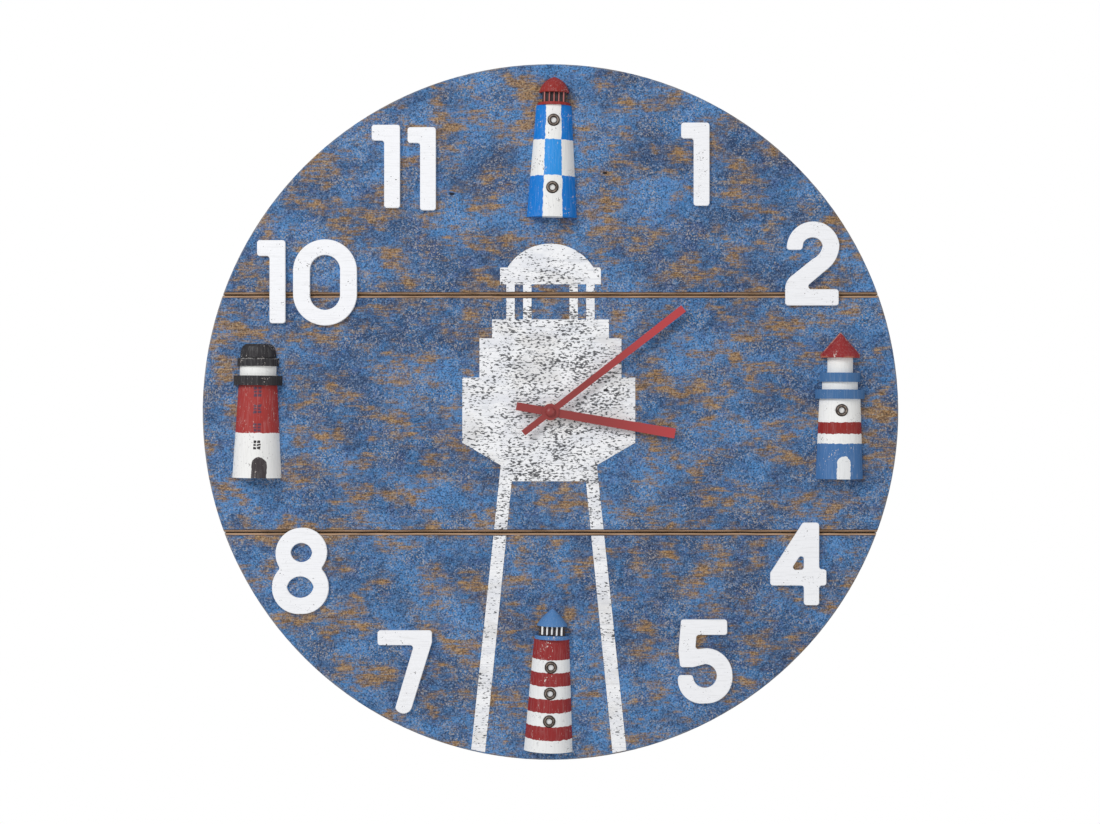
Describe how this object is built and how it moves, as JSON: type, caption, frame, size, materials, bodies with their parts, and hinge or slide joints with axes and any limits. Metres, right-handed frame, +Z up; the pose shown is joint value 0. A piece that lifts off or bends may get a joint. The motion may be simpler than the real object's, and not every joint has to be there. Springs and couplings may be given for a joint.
{
  "type": "wall clock",
  "caption": "Round wall clock of bevelled planks with relief lighthouses between flat numerals, flared baton hands, a geared battery movement and a keyhole hanger.",
  "frame": {"origin": "middle of the round entry of the keyhole hanger, in the plane of the wall", "axes": "+X to the right as the dial is read, +Y into the wall, +Z up"},
  "size_m": [0.58, 0.047, 0.58],
  "materials": {
    "blue_board": "distressed blue paint on softwood, matt",
    "bare_wood": "sawn softwood",
    "white_painted_wood": "white paint, slightly worn, satin",
    "red_painted_wood": "brick red paint, satin",
    "blue_painted_wood": "blue paint, satin",
    "black_painted_wood": "black paint, satin",
    "checked_painted_wood": "blue and white paint, satin",
    "dark_iron": "dark",
    "zinc_steel": "zinc plated",
    "red_metal": "brick red paint, satin",
    "black_rubber": "matt",
    "plain_brass": "turned",
    "black_plastic": "fine texture",
    "white_plastic": "moulded",
    "rotor_plastic": "moulded over a magnet",
    "motor_steel": "stamped",
    "copper_wire": "enamelled wire on a bobbin",
    "green_laminate": "circuit laminate",
    "battery_jacket": "plain printed sleeve"
  },
  "bodies": {
    "clock_body": {"back_screws": "zinc_steel", "batten_left": "bare_wood", "batten_right": "bare_wood", "battery_contacts": "zinc_steel", "brass_washer": "plain_brass", "circuit_board": "green_laminate", "coil": "copper_wire", "east_drum": "white_painted_wood", "east_gallery_lower": "blue_painted_wood", "east_gallery_upper": "blue_painted_wood", "east_lantern": "white_painted_wood", "east_roof": "red_painted_wood", "east_tower": "blue_painted_wood", "hanger_plate": "zinc_steel", "hanging_block": "bare_wood", "movement_case": "black_plastic", "movement_cover": "black_plastic", "north_bars": "red_painted_wood", "north_gallery": "red_painted_wood", "north_lantern": "black_painted_wood", "north_roof": "red_painted_wood", "north_tower": "checked_painted_wood", "numeral_1": "white_painted_wood", "numeral_10_one": "white_painted_wood", "numeral_10_zero": "white_painted_wood", "numeral_11_left": "white_painted_wood", "numeral_11_right": "white_painted_wood", "numeral_2": "white_painted_wood", "numeral_4": "white_painted_wood", "numeral_5": "white_painted_wood", "numeral_7": "white_painted_wood", "numeral_8": "white_painted_wood", "plank_bottom": "blue_board", "plank_middle": "blue_board", "plank_top": "blue_board", "porthole_rings": "dark_iron", "rubber_washer": "black_rubber", "shaft_nut": "plain_brass", "south_bars": "white_painted_wood", "south_gallery": "blue_painted_wood", "south_lantern": "black_painted_wood", "south_roof": "blue_painted_wood", "south_tower": "red_painted_wood", "stator": "motor_steel", "west_drum": "white_painted_wood", "west_gallery": "black_painted_wood", "west_roof": "black_painted_wood", "west_tower": "white_painted_wood"},
    "minute_hand_shaft": {"minute_arbor": "plain_brass", "minute_hand": "red_metal", "cap_nut": "red_metal"},
    "hour_hand_pipe": {"hour_wheel": "white_plastic", "hour_hand": "red_metal"},
    "minute_wheel": {"minute_wheel": "white_plastic"},
    "setting_knob": {"setting_knob": "black_plastic"},
    "centre_wheel": {"centre_wheel": "white_plastic"},
    "third_wheel": {"third_wheel": "white_plastic"},
    "intermediate_wheel": {"intermediate_wheel": "white_plastic"},
    "rotor": {"rotor": "rotor_plastic"},
    "battery": {"battery": "battery_jacket"}
  },
  "joints": [
    {"name": "minute_turn", "type": "hinge", "parent": "clock_body", "child": "minute_hand_shaft", "pos_m": [0, -0.012, -0.225], "axis": [0, 1, 0], "continuous": true},
    {"name": "hour_turn", "type": "hinge", "parent": "clock_body", "child": "hour_hand_pipe", "pos_m": [0, -0.012, -0.225], "axis": [0, 1, 0], "continuous": true},
    {"name": "minute_wheel_turn", "type": "hinge", "parent": "clock_body", "child": "minute_wheel", "pos_m": [0.0045, -0.012, -0.21721], "axis": [0, 1, 0], "continuous": true},
    {"name": "knob_turn", "type": "hinge", "parent": "clock_body", "child": "setting_knob", "pos_m": [0.0135, -0.012, -0.21721], "axis": [0, 1, 0], "continuous": true},
    {"name": "rotor_turn", "type": "hinge", "parent": "clock_body", "child": "rotor", "pos_m": [-0.00308, -0.012, -0.20907], "axis": [0, 1, 0], "continuous": true},
    {"name": "intermediate_turn", "type": "hinge", "parent": "clock_body", "child": "intermediate_wheel", "pos_m": [-0.01158, -0.012, -0.20907], "axis": [0, 1, 0], "continuous": true},
    {"name": "third_turn", "type": "hinge", "parent": "clock_body", "child": "third_wheel", "pos_m": [-0.00778, -0.012, -0.21722], "axis": [0, 1, 0], "continuous": true},
    {"name": "centre_turn", "type": "hinge", "parent": "clock_body", "child": "centre_wheel", "pos_m": [0, -0.012, -0.225], "axis": [0, 1, 0], "continuous": true},
    {"name": "battery_slide", "type": "slide", "parent": "clock_body", "child": "battery", "axis": [0, 1, 0], "range_m": [0, 0.025]}
  ],
  "couplings": [
    {"joint": "hour_turn", "follows": "minute_turn", "ratio": 0.083333},
    {"joint": "minute_wheel_turn", "follows": "minute_turn", "ratio": -0.33333},
    {"joint": "knob_turn", "follows": "minute_turn", "ratio": 1},
    {"joint": "intermediate_turn", "follows": "rotor_turn", "ratio": -0.13333},
    {"joint": "third_turn", "follows": "rotor_turn", "ratio": 0.016667},
    {"joint": "centre_turn", "follows": "rotor_turn", "ratio": -0.0016667}
  ]
}
